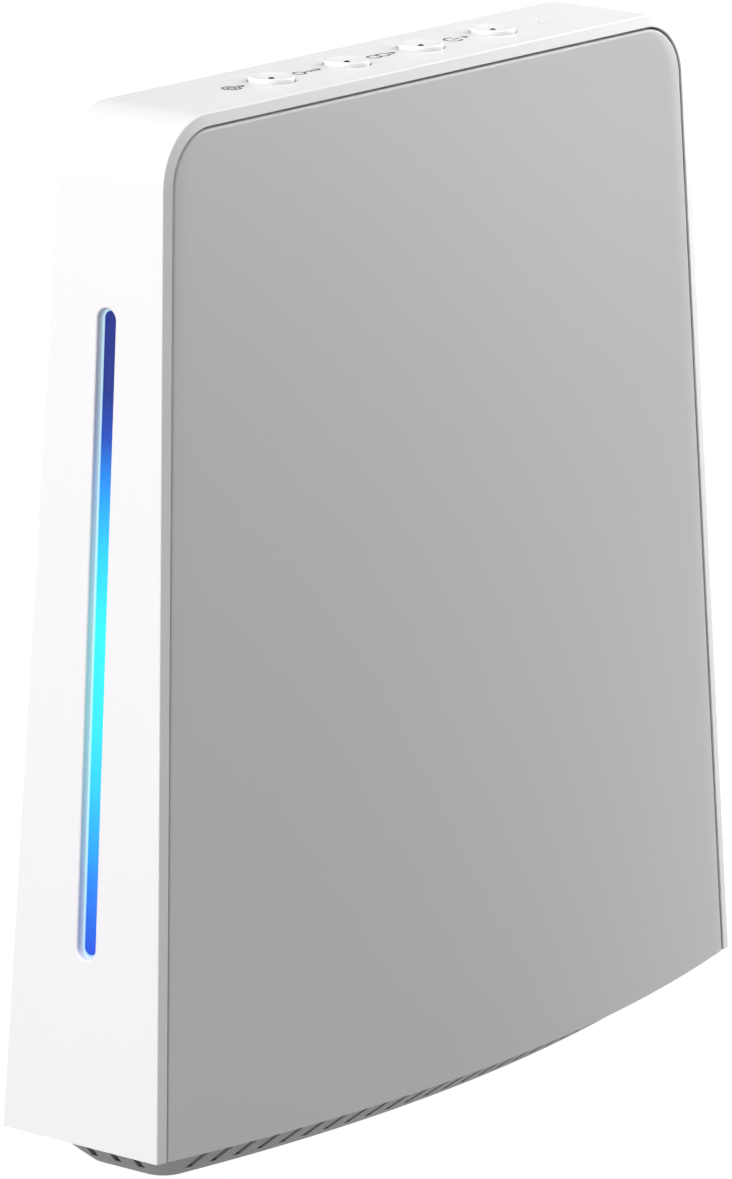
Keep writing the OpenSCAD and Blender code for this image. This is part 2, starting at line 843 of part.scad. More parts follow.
// Header housings for the two flat cables and the speaker
module board_connectors() color("ivory") {
    translate([button_plug_x - button_plug_size[0]/2, -board_t/2 - button_plug_size[1],
               button_plug_top - button_plug_size[2]])
        cube(button_plug_size);
    translate([board_left + led_plug_x, -board_t/2 - led_plug_size[1], mid_z - led_plug_size[2]/2])
        cube(led_plug_size);
    translate([speaker_x - speaker_plug_size[0]/2, -board_t/2 - speaker_plug_size[1], speaker_plug_z])
        cube(speaker_plug_size);
}

module processor() color([0.12, 0.12, 0.13])
    translate([sink_x, -board_t/2 - chip[1]/2, sink_z])
    cube(chip, center = true);

module memory_chips() color([0.12, 0.12, 0.13])
    for (end = [-1, 1])
        translate([sink_x + 2, -board_t/2 - memory_size[1]/2, sink_z + end*(sink_size[2]/2 + 6)])
            cube(memory_size, center = true);

module thermal_pad() color([0.5, 0.65, 0.85])
    translate([sink_x, -board_t/2 - chip[1] - pad_t/2, sink_z])
    cube([chip[0], pad_t, chip[2]], center = true);

module heat_sink() color([0.75, 0.75, 0.78])
    translate([sink_x - sink_size[0]/2, sink_y - sink_size[1], sink_z - sink_size[2]/2]) {
        cube(sink_size);
        for (i = [0:fin_count - 1])
            translate([i*(sink_size[0] - fin_t)/(fin_count - 1), -fin_h, 0])
                cube([fin_t, fin_h + slip, sink_size[2]]);
    }

module radio_module(i) color([0.8, 0.8, 0.82])
    translate([radio_x[i], board_t/2 + radio_size[1]/2, radio_top - radio_size[2]/2])
    cube(radio_size, center = true);

module power_coils() color([0.25, 0.25, 0.27])
    for (i = [0:coil_count - 1])
        translate([coil_x + coil_pitch*i, -board_t/2, coil_z])
            rotate([90, 0, 0]) cylinder(r = coil_r, h = coil_h);

module antenna_strips() color([0.1, 0.35, 0.2])
    for (x = radio_x)
        translate([x, board_t/2 + antenna_size[1]/2, antenna_z]) cube(antenna_size, center = true);

module antenna_leads() color([0.1, 0.1, 0.1])
    for (x = radio_x) {
        y = board_t/2 + antenna_size[1] + lead_r;
        tube([
            [x, y, antenna_z], [x, y, antenna_z - 2], [x + antenna_lead_bend, y, (antenna_z + radio_top)/2],
            [x, y, radio_top + 1.5], [x, y, radio_top]
        ], lead_r);
    }

// ---------- ports ----------

module port_place(z, size) {
    translate([port_x(z, size), 0, z]) children();
}

module rj45_jack() color([0.16, 0.16, 0.17])
    port_place(rj45_z, rj45_size)
    difference() {
        bar(-rj45_size[2], 0, rj45_size[1], rj45_size[0]);
        bar(-rj45_hole[2], over, rj45_hole[1], rj45_hole[0]);
        translate([0, -rj45_hole[1]/2, 0])
            bar(-rj45_hole[2], over, 2*rj45_latch[1], rj45_latch[0]);
    }

module rj45_contacts() color("gold")
    port_place(rj45_z, rj45_size)
    for (i = [0:rj45_contact_count - 1])
        translate([-rj45_contact_in, (rj45_hole[1] - rj45_contact_t)/2 - slip,
                   (i - (rj45_contact_count - 1)/2)*rj45_contact_pitch])
            rotate([0, 0, rj45_contact_turn])
            bar(-rj45_contact_len, 0, rj45_contact_t, rj45_contact_t);

module usb_a_shell() color("silver")
    port_place(usb_a_z, usb_a_size)
    difference() {
        bar(-usb_a_size[2], 0, usb_a_size[1], usb_a_size[0]);
        bar(-usb_a_size[2] + usb_a_back, over, usb_a_size[1] - 2*usb_wall, usb_a_size[0] - 2*usb_wall);
    }

module usb_a_tongue() color([0.1, 0.2, 0.5])
    port_place(usb_a_z, usb_a_size)
    translate([-usb_a_size[2] + usb_a_back, usb_a_tongue_y, 0])
    bar(0, usb_a_tongue_size[2], usb_a_tongue_size[1], usb_a_tongue_size[0]);

module usb_c_shell() color("silver")
    port_place(usb_c_z, usb_c_size)
    difference() {
        slot_bar(-usb_c_size[2], 0, usb_c_size[1], usb_c_size[0]);
        slot_bar(-usb_c_size[2] + usb_c_back, over,
                 usb_c_size[1] - 2*usb_c_wall, usb_c_size[0] - 2*usb_c_wall);
    }

module usb_c_tongue() color([0.12, 0.12, 0.13])
    port_place(usb_c_z, usb_c_size)
    translate([-usb_c_size[2] + usb_c_back, 0, 0])
    bar(0, usb_c_tongue_size[2], usb_c_tongue_size[1], usb_c_tongue_size[0]);

module reset_switch() color([0.15, 0.15, 0.16])
    translate([reset_x - reset_plunger_show, reset_y, reset_z])
    difference() {
        bar(-reset_size[2], 0, reset_size[1], reset_size[0]);
        translate([-reset_bore_len, 0, 0])
            rotate([0, 90, 0])
            cylinder(r = reset_bore_r, h = reset_bore_len + over);
    }

module reset_plunger() color([0.8, 0.2, 0.2])
    translate([reset_x - reset_plunger_len, reset_y, reset_z])
    rotate([0, 90, 0])
    cylinder(r = reset_plunger_r, h = reset_plunger_len);

// ---------- speaker ----------

module speaker_place() {
    translate([speaker_x, 0, speaker_foot]) children();
}

module speaker_basket() color([0.2, 0.2, 0.21])
    speaker_place()
    difference() {
        union() {
            cylinder(r = speaker_r, h = speaker_h);
            for (end = [-1, 1]) {
                translate([end*speaker_ear, 0, 0]) cylinder(r = ear_r, h = ear_t);
                translate([end*(speaker_ear + speaker_r)/2, 0, ear_t/2])
                    cube([speaker_ear - speaker_r + ear_r, 2*ear_r, ear_t], center = true);
            }
        }
        translate([0, 0, -over])
            cylinder(r = speaker_r - speaker_rim, h = speaker_h - speaker_back + over);
        translate([0, 0, -over]) cylinder(r = magnet_r - 1, h = speaker_h + 2*over);
        for (end = [-1, 1])
            translate([end*speaker_ear, 0, -over])
                cylinder(r = pilot_r + 0.2, h = ear_t + 2*over);
    }

module speaker_cone() color([0.1, 0.1, 0.1])
    speaker_place()
    rotate_extrude()
    polygon([
        [0, 1.2], [3, 1.2], [4.2, 1.7], [8.4, 0.6], [9.6, 0.6],
        [9.6, 0.9], [8.6, 0.9], [4.2, 2], [2.9, 1.5], [0, 1.5]
    ]);

module speaker_magnet() color("silver")
    speaker_place()
    translate([0, 0, speaker_h])
    cylinder(r = magnet_r, h = magnet_h);

module speaker_gasket() color([0.3, 0.3, 0.3])
    speaker_place()
    translate([0, 0, -gasket_h])
    difference() {
        cylinder(r = speaker_r, h = gasket_h);
        translate([0, 0, -over]) cylinder(r = speaker_r - speaker_rim, h = gasket_h + 2*over);
    }

module speaker_screws() color("silver")
    for (end = [-1, 1])
        translate([speaker_x + end*speaker_ear, 0, speaker_foot + ear_t + screw_head_h])
            screw(screw_head_r, screw_head_h, pilot_r - hole_slip, board_screw_len);

module speaker_leads() color("firebrick")
    for (end = [-1, 1]) {
        x = speaker_x + end*speaker_lead_x;
        top = speaker_foot + speaker_h;
        tube([
            [x, -speaker_r + 2.5, top], [x, -speaker_r + 2.5, top + 2],
            [x, -7.5, board_foot + 0.5], [x, -6.5, board_foot + 3], [x, -5.2, board_foot + 3.6],
            [x, -board_t/2 - speaker_plug_size[1], board_foot + 3.6]
        ], lead_r);
    }

shell_band();
front_panel();
rear_panel();
base_tray();
rubber_feet();
tray_screws();
light_lens();
light_box();
led_board();
led_chips();
led_ribbon();
for (i = [0:len(button_names) - 1]) {
    button_cap(i);
    light_pin(i);
    plunger(i);
}
switch_bodies();
switch_leds();
button_board();
button_board_screws();
button_ribbon();
microphone();
microphone_gasket();
main_board();
board_screws();
board_connectors();
processor();
memory_chips();
thermal_pad();
heat_sink();
radio_module(0);  // wifi_module
radio_module(1);  // mesh_radio_module
power_coils();
antenna_strips();
antenna_leads();
rj45_jack();
rj45_contacts();
usb_a_shell();
usb_a_tongue();
usb_c_shell();
usb_c_tongue();
reset_switch();
reset_plunger();
speaker_basket();
speaker_cone();
speaker_magnet();
speaker_gasket();
speaker_screws();
speaker_leads();
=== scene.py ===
import json
import math

import bmesh
import bpy
from mathutils import Matrix, Vector


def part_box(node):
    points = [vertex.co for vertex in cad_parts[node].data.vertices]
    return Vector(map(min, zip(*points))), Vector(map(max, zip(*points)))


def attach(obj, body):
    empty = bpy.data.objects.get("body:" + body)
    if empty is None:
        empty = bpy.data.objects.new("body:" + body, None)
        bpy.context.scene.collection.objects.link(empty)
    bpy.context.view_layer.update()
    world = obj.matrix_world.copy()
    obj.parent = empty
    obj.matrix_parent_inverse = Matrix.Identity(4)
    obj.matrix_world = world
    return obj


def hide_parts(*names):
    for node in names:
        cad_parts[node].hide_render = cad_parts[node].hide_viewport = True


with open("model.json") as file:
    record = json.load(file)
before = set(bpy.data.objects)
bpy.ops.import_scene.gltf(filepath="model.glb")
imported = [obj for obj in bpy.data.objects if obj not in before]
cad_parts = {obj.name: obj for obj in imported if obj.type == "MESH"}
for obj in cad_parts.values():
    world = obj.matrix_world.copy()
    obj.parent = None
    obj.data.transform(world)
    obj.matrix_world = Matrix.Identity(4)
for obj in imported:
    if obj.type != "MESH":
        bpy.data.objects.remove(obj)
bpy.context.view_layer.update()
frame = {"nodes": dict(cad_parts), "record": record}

MM = 0.001


# ---------------------------------------------------------------------------
# Sizes: read from the frame where it has them, and otherwise as in the design
# ---------------------------------------------------------------------------

band_low, band_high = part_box("shell_band")
FOOT_Z = band_low.z
TOP_Z = band_high.z
FOOT_HALF_W = band_high.x
FOOT_HALF_D = band_high.y
MID_Z = (FOOT_Z + TOP_Z) / 2
SIDE_LEAN = 5.7 * MM
FACE_LEAN = 3.6 * MM
CORNER_R = 7 * MM
WALL = 2.4 * MM
RIM = 1.25 * MM
PANEL_GAP = 0.2 * MM
PANEL_T = 1.8 * MM
PANEL_IN = RIM + PANEL_GAP
SEAT = PANEL_T + 0.05 * MM
LIGHT_W = 2.3 * MM
LIGHT_LEN = 65 * MM
BULGE = -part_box("front_panel")[0].y - FOOT_HALF_D
PANEL_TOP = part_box("front_panel")[1].z

LEAN = math.atan(SIDE_LEAN / (TOP_Z - FOOT_Z))
CORNER_Z = TOP_Z - CORNER_R


def rise(z):
    """How far up the band a height is, from 0 at its foot to 1 at its top."""
    return (z - FOOT_Z) / (TOP_Z - FOOT_Z)


def half_w(z):
    return FOOT_HALF_W - SIDE_LEAN * rise(z)


def half_d(z):
    return FOOT_HALF_D - FACE_LEAN * rise(z)


CORNER_X = half_w(CORNER_Z) - CORNER_R / math.cos(LEAN)


def panel_y(x, z):
    """Distance of a large panel's outer face from the middle plane."""
    bow = BULGE * max(0, 1 - (z - FOOT_Z) / (PANEL_TOP - FOOT_Z))
    across = x / (half_w(z) - PANEL_IN / math.cos(LEAN))
    return half_d(z) + bow * max(0, 1 - across * across)


# ---------------------------------------------------------------------------
# Mesh helpers
# ---------------------------------------------------------------------------


# Points nearer than this are one point, and faces thinner than the sliver are left out of a cut
SAME_POINT = 0.0001 * MM
SLIVER = 0.001 * MM


def mesh_object(name, points, faces):
    """A new object from lists of points and faces, with its faces turned outwards."""
    mesh = bpy.data.meshes.new(name)
    mesh.from_pydata([tuple(p) for p in points], [], faces)
    shape = bmesh.new()
    shape.from_mesh(mesh)
    bmesh.ops.remove_doubles(shape, verts=shape.verts, dist=SAME_POINT)
    bmesh.ops.recalc_face_normals(shape, faces=shape.faces)
    shape.to_mesh(mesh)
    shape.free()
    thing = bpy.data.objects.new(name, mesh)
    bpy.context.scene.collection.objects.link(thing)
    return thing


def joined(name, parts):
    """One mesh object made of several lists of (points, faces)."""
    points, faces = [], []
    for part_points, part_faces in parts:
        start = len(points)
        points += part_points
        faces += [[start + i for i in face] for face in part_faces]
    return mesh_object(name, points, faces)


def smooth(thing, angle=32):
    """Smooth shading with sharp edges above an angle, and flat faces kept flat."""
    thing.data.shade_smooth()
    thing.data.set_sharp_from_angle(angle=math.radians(angle))
    weights = thing.modifiers.new("flat_faces", "WEIGHTED_NORMAL")
    weights.keep_sharp = True
    settle(thing)
    return thing


def settle(thing):
    """Applies the modifiers of an object."""
    seen = thing.evaluated_get(bpy.context.evaluated_depsgraph_get())
    mesh = bpy.data.meshes.new_from_object(seen)
    thing.modifiers.clear()
    thing.data = mesh


def cut(thing, cutter):
    """Takes a cutter out of an object, removes the cutter and clears slivers from the cut."""
    step = thing.modifiers.new("cut", "BOOLEAN")
    step.operation = "DIFFERENCE"
    step.solver = "EXACT"
    step.object = cutter
    settle(thing)
    bpy.data.objects.remove(cutter)
    shape = bmesh.new()
    shape.from_mesh(thing.data)
    bmesh.ops.dissolve_degenerate(shape, edges=shape.edges, dist=SLIVER)
    bmesh.ops.triangulate(shape, faces=[face for face in shape.faces if len(face.verts) > 4])
    shape.to_mesh(thing.data)
    shape.free()


def tube_faces(rows, ring):
    """Faces of a tube of rings of points, one ring after the other, and of its two ends."""
    faces = []
    for i in range(rows - 1):
        for j in range(ring):
            k = (j + 1) % ring
            faces.append([i * ring + j, i * ring + k, (i + 1) * ring + k, (i + 1) * ring + j])
    faces.append(list(range(ring)))
    faces.append([(rows - 1) * ring + j for j in reversed(range(ring))])
    return faces


def rounded_outline(width, height, radius, steps=8):
    """Points of a rectangle with rounded corners. A full radius gives a circle or a slot."""
    points = []
    for quarter, (sx, sy) in enumerate([(1, 1), (-1, 1), (-1, -1), (1, -1)]):
        for step in range(steps + 1):
            angle = math.pi / 2 * (quarter + step / steps)
            points.append((
                sx * (width / 2 - radius) + radius * math.cos(angle),
                sy * (height / 2 - radius) + radius * math.sin(angle),
            ))
    return points


def plug(place, width, height, radius, profile, steps=8):
    """A bar with a rounded outline. profile lists (grow, depth) along the bar's axis."""
    points = []
    for grow, depth in profile:
        for x, y in rounded_outline(width + 2 * grow, height + 2 * grow, radius + grow, steps):
            points.append(place @ Vector((x, y, depth)))
    return points, tube_faces(len(profile), 4 * (steps + 1))


MOUTH_LIP = 0.02 * MM


def mouth(deep, edge, out=0.6 * MM):
    """Profile of a cutter whose hole has a rounded edge at the surface."""
    profile = [(0, -deep)]
    for angle in range(0, 80, 15):
        turn = math.radians(angle)
        profile.append((edge * (1 - math.cos(turn)), -edge * (1 - math.sin(turn))))
    return profile + [(edge * 1.3, MOUTH_LIP), (edge * 1.3, out)]


def rounded_end(low, high, edge, steps=4):
    """Profile of a bar from low to high whose far end has a rounded edge."""
    profile = [(0, low)]
    for step in range(steps + 1):
        turn = math.pi / 2 * step / steps
        profile.append((-edge * (1 - math.cos(turn)), high - edge * (1 - math.sin(turn))))
    return profile


def lathe(centre, profile, sides=64):
    """A closed ring or disc turned about a vertical axis. profile lists (radius, height)."""
    points = []
    for radius, height in profile:
        for k in range(sides):
            turn = 2 * math.pi * k / sides
            points.append(centre + Vector((radius * math.cos(turn), radius * math.sin(turn), height)))
    return points, tube_faces(len(profile), sides)


def ring_lathe(centre, profile, sides=64):
    """As lathe, but with a hole through its middle: the profile is a closed loop."""
    points, faces = lathe(centre, profile, sides)
    faces = faces[:-2]
    last = (len(profile) - 1) * sides
    for k in range(sides):
        n = (k + 1) % sides
        faces.append([last + k, last + n, n, k])
    return points, faces


def frame_at(origin, u, v, n):
    """A placement whose x, y and z run along u, v and n."""
    place = Matrix((u, v, n)).transposed().to_4x4()
    place.translation = origin
    return place


def on_side(side, z):
    """A placement on a narrow side: x across it, y up the wall, z outwards."""
    c, s = math.cos(LEAN), math.sin(LEAN)
    return frame_at(
        Vector((side * half_w(z), 0, z)),
        Vector((0, side, 0)),
        Vector((-side * s, 0, c)),
        Vector((side * c, 0, s)),
    )


def upright(x, y, z):
    """A placement along the frame's own axes."""
    return Matrix.Translation(Vector((x, y, z)))


def on_top(x):
    return upright(x, 0, TOP_Z)


def keep(thing, body, slot, finish, *nodes):
    """Finishes a piece: what it rides on, what it is made of and which nodes it stands for."""
    thing.data.materials.clear()
    thing.data.materials.append(finish)
    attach(thing, body)
    if nodes:
        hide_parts(*nodes)


# ---------------------------------------------------------------------------
# Finishes
# ---------------------------------------------------------------------------


class Value:
    """A number that changes over a surface. Arithmetic on it adds Math nodes."""

    def __init__(self, finish, socket):
        self.finish = finish
        self.socket = socket

    def math(self, operation, *terms):
        return self.finish.node("ShaderNodeMath", {"operation": operation}, dict(enumerate(terms)))

    def __add__(self, other):
        return self.math("ADD", self, other)

    def __radd__(self, other):
        return self.math("ADD", other, self)

    def __sub__(self, other):
        return self.math("SUBTRACT", self, other)

    def __rsub__(self, other):
        return self.math("SUBTRACT", other, self)

    def __mul__(self, other):
        return self.math("MULTIPLY", self, other)

    def __rmul__(self, other):
        return self.math("MULTIPLY", other, self)

    def __truediv__(self, other):
        return self.math("DIVIDE", self, other)

    def call(self, operation, *others):
        return self.math(operation, self, *others)

    def clamped(self):
        return self.finish.node("ShaderNodeClamp", {}, {"Value": self})


class Finish:
    """A material, built up from its principled shader."""

    def __init__(self, name, colour, roughness, **constants):
        self.material = bpy.data.materials.new(name)
        self.material.use_nodes = True
        self.tree = self.material.node_tree
        self.tree.nodes.clear()
        self.shader = self.tree.nodes.new("ShaderNodeBsdfPrincipled")
        self.output = self.tree.nodes.new("ShaderNodeOutputMaterial")
        self.tree.links.new(self.shader.outputs[0], self.output.inputs[0])
        self.colour = colour
        self.shader.inputs["Base Color"].default_value = (*colour, 1)
        self.shader.inputs["Roughness"].default_value = roughness
        for key, value in constants.items():
            self.shader.inputs[key.replace("_", " ")].default_value = value

    def node(self, kind, settings, sockets, output=0):
        """Adds a node: its settings first, then the values or links of its sockets."""
        made = self.tree.nodes.new(kind)
        for key, value in settings.items():
            if key == "stops":
                self.stops(made.color_ramp, value)
            else:
                setattr(made, key, value)
        for key, value in sockets.items():
            if isinstance(value, Value):
                self.tree.links.new(value.socket, made.inputs[key])
            else:
                made.inputs[key].default_value = value
        return Value(self, made.outputs[output])

    def stops(self, ramp, stops):
        """Sets a ramp's stops from a list of (place, colour)."""
        while len(ramp.elements) < len(stops):
            ramp.elements.new(1)
        for element, (place, colour) in zip(ramp.elements, stops):
            element.position = place
            element.color = (*colour, 1)

    def feed(self, socket, value):
        self.tree.links.new(value.socket, self.shader.inputs[socket])

    def place(self, axis=None):
        """Position on the piece, in metres, or one of its axes."""
        where = self.node("ShaderNodeTexCoord", {}, {}, output="Object")
        if axis is None:
            return where
        return self.node("ShaderNodeSeparateXYZ", {}, {0: where}, output=axis)

    def noise(self, size, detail=2.0, roughness=0.5, stretch=(1, 1, 1)):
        """Noise from 0 to 1 whose patches are about a size across."""
        where = self.place()
        if stretch != (1, 1, 1):
            where = self.node("ShaderNodeMapping", {}, {"Vector": where, "Scale": stretch})
        return self.node("ShaderNodeTexNoise", {}, {
            "Vector": where, "Scale": 1 / size, "Detail": detail, "Roughness": roughness,
        })

    def tint(self, amount, *colours):
        """A colour between two colours, or between the base colour and one."""
        first, second = colours if len(colours) == 2 else (self.colour, colours[0])
        first = first if isinstance(first, Value) else (*first, 1)
        second = second if isinstance(second, Value) else (*second, 1)
        return self.node(
            "ShaderNodeMix", {"data_type": "RGBA"}, {0: amount, 6: first, 7: second}, output=2)

    def bump(self, height, distance):
        """Raises the surface by a height times a distance, as shading only."""
        self.feed("Normal", self.node("ShaderNodeBump", {}, {"Distance": distance, "Height": height}))
        return self


def shade(colour, factor):
    return tuple(min(1.0, c * factor) for c in colour)


def moulded(name, colour, roughness, grain=0.22 * MM, depth=0.006 * MM, cloud=0.04, **constants):
    """Moulded plastic: a fine spark-eroded grain, faint flow clouding and uneven gloss."""
    finish = Finish(name, colour, roughness, **constants)
    flow = finish.noise(18 * MM, detail=3, stretch=(1, 1, 0.5))
    finish.feed("Base Color", finish.tint(flow, shade(colour, 1 - cloud), shade(colour, 1 + cloud)))
    fine = finish.noise(grain, detail=3, roughness=0.6)
    finish.feed("Roughness", (roughness - 0.06) + 0.08 * flow + 0.06 * fine)
    return finish.bump(fine, depth).material


def painted_panel():
    """Satin paint over the bowed panels: orange peel under a thin clear coat, and painted light: the
    colour runs lighter towards the left end and darker towards the right end.
    """
    colour = (0.622, 0.603, 0.622)
    finish = Finish("panel_paint", colour, 0.42, Coat_Roughness=0.3)
    flow = finish.noise(30 * MM, detail=2)
    # Painted light: the base colour is lighter at the left end and darker at the right end, for how the
    # lamps fall across the panel; the flow noise adds random tone.
    painted_light_across = (finish.place("X") / (2 * FOOT_HALF_W) + 0.45 + 0.1 * flow).clamped()
    finish.feed("Base Color", finish.tint(painted_light_across, shade(colour, 1.14), shade(colour, 0.83)))
    peel = finish.noise(0.5 * MM, detail=2)
    finish.feed("Roughness", 0.38 + 0.05 * flow + 0.05 * peel)
    finish.feed("Coat Weight", 0.12 + 0.06 * flow)
    return finish.bump(peel, 0.003 * MM).material


# Colours of the light bar from its lower end to its upper end
LIGHT_STOPS = [
    (0.00, (0.004, 0.06, 0.74)),
    (0.12, (0.008, 0.24, 0.93)),
    (0.23, (0.012, 0.56, 0.95)),
    (0.35, (0.022, 0.84, 0.95)),
    (0.50, (0.020, 0.95, 0.96)),
    (0.62, (0.012, 0.68, 0.96)),
    (0.73, (0.004, 0.29, 0.94)),
    (0.80, (0.002, 0.06, 0.48)),
    (0.87, (0.001, 0.015, 0.22)),
    (1.00, (0.001, 0.010, 0.20)),
]


def glowing_lens():
    """The light bar's diffuser: a colour that changes along it, with a pale rim of painted light all
    around its edge.
    """
    dark = (0.006, 0.010, 0.03)
    finish = Finish("light_bar_glow", dark, 0.3, Specular_IOR_Level=0.3)
    up = finish.place("Z")
    along = (up - MID_Z) / LIGHT_LEN + 0.5
    glow = finish.node("ShaderNodeValToRGB", {"stops": LIGHT_STOPS}, {0: along})
    cloud = finish.noise(4 * MM, detail=3)
    face = finish.tint(0.18 * cloud, glow, shade(dark, 0.5))
    past_end = ((up - MID_Z).call("ABSOLUTE") - (LIGHT_LEN - LIGHT_W) / 2).call("MAXIMUM", 0)
    across = finish.place("Y")
    reach = (past_end * past_end + across * across).call("SQRT")
    # Painted light: a paler, brighter glow painted along the lens's edge, for the glow the bar casts on
    # its slot's wall.
    edge = ((reach - (LIGHT_W / 2 - 0.42 * MM)) / (0.12 * MM)).clamped()
    finish.feed("Emission Color", finish.tint(edge, face, finish.tint(0.75, glow, (0.62, 0.92, 1.0))))
    finish.feed("Base Color", finish.tint(cloud, dark, shade(dark, 2)))
    finish.feed("Roughness", 0.25 + 0.1 * cloud)
    finish.shader.inputs["Emission Strength"].default_value = 1.1
    return finish.material


def metal(name, colour, roughness, brush=(1, 1, 1), grain=0.3 * MM):
    """Plated or brushed metal with fine streaks and faint tarnish."""
    finish = Finish(name, colour, roughness, Metallic=1.0)
    streak = finish.noise(grain, detail=3, stretch=brush)
    cloud = finish.noise(4 * MM, detail=2)
    finish.feed("Base Color", finish.tint(cloud, shade(colour, 0.88), colour))
    finish.feed("Roughness", (roughness - 0.08) + 0.16 * streak)
    return finish.bump(streak, 0.004 * MM).material


def circuit_board():
    """Solder mask over copper tracks, with tinned pads here and there."""
    mask, copper, tin = (0.010, 0.085, 0.040), (0.022, 0.150, 0.062), (0.62, 0.60, 0.55)
    finish = Finish("solder_mask", mask, 0.35, Coat_Weight=0.3, Coat_Roughness=0.2)
    tracks = finish.node("ShaderNodeTexBrick", {"offset": 0.37}, {
        "Vector": finish.node("ShaderNodeMapping", {}, {
            "Vector": finish.place(), "Rotation": (math.pi / 2, 0, 0)}),
        "Scale": 1 / (2.2 * MM), "Mortar Size": 0.05, "Brick Width": 1.7, "Row Height": 0.6,
    }, output="Fac")
    pads = finish.node("ShaderNodeTexVoronoi", {"feature": "F1"}, {
        "Vector": finish.place(), "Scale": 1 / (2.6 * MM)})
    pad = finish.node("ShaderNodeMath", {"operation": "LESS_THAN"}, {0: pads, 1: 0.16})
    finish.feed("Base Color", finish.tint(pad, finish.tint(tracks, mask, copper), tin))
    finish.feed("Roughness", 0.36 - 0.1 * tracks)
    return finish.bump(tracks + pad, 0.02 * MM).material


def woven(name, colour, size, roughness=0.7):
    """A fine woven sleeve or a pressed fibre surface."""
    finish = Finish(name, colour, roughness, Sheen_Weight=0.2)
    weave = finish.node("ShaderNodeTexWave", {"bands_direction": "DIAGONAL"}, {
        "Vector": finish.place(), "Scale": 1 / (6 * size), "Distortion": 2.0, "Detail": 2.0})
    fibre = finish.noise(size, detail=3)
    finish.feed("Base Color", finish.tint(fibre, shade(colour, 0.75), shade(colour, 1.3)))
    finish.feed("Roughness", (roughness - 0.1) + 0.15 * fibre)
    return finish.bump(weave * 0.5 + fibre, 0.03 * MM).material


WHITE = (0.865, 0.85, 0.868)

# The finish of each material slot
FINISHES = {
    "white_shell": moulded(
        "white_plastic", WHITE, 0.42, cloud=0.008, Coat_Weight=0.05, Coat_Roughness=0.3),
    "grey_panel": painted_panel(),
    "grey_tray": moulded("tray_plastic", (0.40, 0.395, 0.40), 0.55, cloud=0.03),
    "rubber_foot": moulded("foot_rubber", (0.11, 0.11, 0.115), 0.8, grain=0.3 * MM, depth=0.02 * MM),
    "light_lens": glowing_lens(),
    "white_reflector": moulded("reflector_plastic", (0.80, 0.80, 0.80), 0.35),
    "circuit_board": circuit_board(),
    "led_chip": moulded("phosphor", (0.85, 0.70, 0.28), 0.4, grain=0.1 * MM, depth=0.01 * MM),
    "flat_cable": moulded("cable_film", (0.60, 0.60, 0.62), 0.3, grain=0.5 * MM),
    "smoked_pin": moulded("smoked_plastic", (0.02, 0.02, 0.024), 0.18, grain=0.1 * MM, depth=0.001 * MM),
    "black_plastic": moulded("black_plastic", (0.022, 0.022, 0.024), 0.5),
    "plug_housing": moulded("plug_nylon", (0.70, 0.66, 0.52), 0.5),
    "chip_package": moulded("chip_epoxy", (0.025, 0.025, 0.027), 0.6, grain=0.12 * MM, depth=0.012 * MM),
    "thermal_gel": moulded("thermal_gel", (0.28, 0.42, 0.62), 0.65, grain=0.4 * MM, depth=0.03 * MM),
    "sink_aluminium": metal("extruded_aluminium", (0.80, 0.81, 0.83), 0.38, brush=(1, 1, 0.05)),
    "plated_steel": metal("plated_steel", (0.66, 0.66, 0.68), 0.32, brush=(1, 1, 0.3)),
    "gold_contact": metal("gold_plate", (0.83, 0.60, 0.24), 0.22),
    "red_plastic": moulded("red_plastic", (0.48, 0.03, 0.025), 0.45),
    "blue_plastic": moulded("blue_plastic", (0.012, 0.045, 0.30), 0.4),
    "speaker_paper": woven("pressed_paper", (0.02, 0.02, 0.021), 0.25 * MM, 0.85),
    "foam": woven("closed_foam", (0.035, 0.035, 0.037), 0.4 * MM, 0.95),
    "lead_sleeve": woven("red_sleeve", (0.38, 0.02, 0.015), 0.3 * MM, 0.5),
    "coax_sleeve": woven("black_sleeve", (0.02, 0.02, 0.02), 0.3 * MM, 0.5),
    "ferrite": moulded("ferrite", (0.05, 0.05, 0.053), 0.7, grain=0.3 * MM, depth=0.02 * MM),
}
SLOT_OF = {row["node"]: row["material_slot"] for row in frame["record"]["subparts"]}

for node_name, node_object in frame["nodes"].items():
    node_object.data.materials.clear()
    node_object.data.materials.append(FINISHES[SLOT_OF[node_name]])


# ---------------------------------------------------------------------------
# The white band
# ---------------------------------------------------------------------------


def arch(margin, side_steps=20, corner_steps=18, top_steps=24):
    """The band's outline a margin inside it, as (x, z) from the left foot to the right foot."""
    r = CORNER_R - margin
    bend_z = CORNER_Z + r * math.sin(LEAN)
    left = []
    for i in range(side_steps):
        z = FOOT_Z + (bend_z - FOOT_Z) * i / side_steps
        left.append((-(half_w(z) - margin / math.cos(LEAN)), z))
    for i in range(corner_steps + 1):
        turn = LEAN + (math.pi / 2 - LEAN) * i / corner_steps
        left.append((-(CORNER_X + r * math.cos(turn)), CORNER_Z + r * math.sin(turn)))
    top = []
    for i in range(1, top_steps):
        top.append((CORNER_X * (2 * i / top_steps - 1), CORNER_Z + r))
    return left + top + [(-x, z) for x, z in reversed(left)]


# The rim's edges towards the panel and towards the side, and how far its face falls back outwards
RIM_IN_EDGE = 0.08 * MM
RIM_EDGE = 0.16 * MM
RIM_DROP = 0.22 * MM


def band_section():
    """The band's section as (margin, depth below the leaning face, side), once around."""
    front = [(WALL, SEAT), (RIM, SEAT), (RIM, RIM_IN_EDGE), (RIM - RIM_IN_EDGE, 0.0)]
    steps = 4
    for step in range(steps + 1):
        turn = math.pi / 2 * step / steps
        front.append((RIM_EDGE * (1 - math.sin(turn)), RIM_DROP + RIM_EDGE * (1 - math.cos(turn))))
    section = [(m, q, -1) for m, q in front]
    return section + [(m, q, 1) for m, q in reversed(front)]


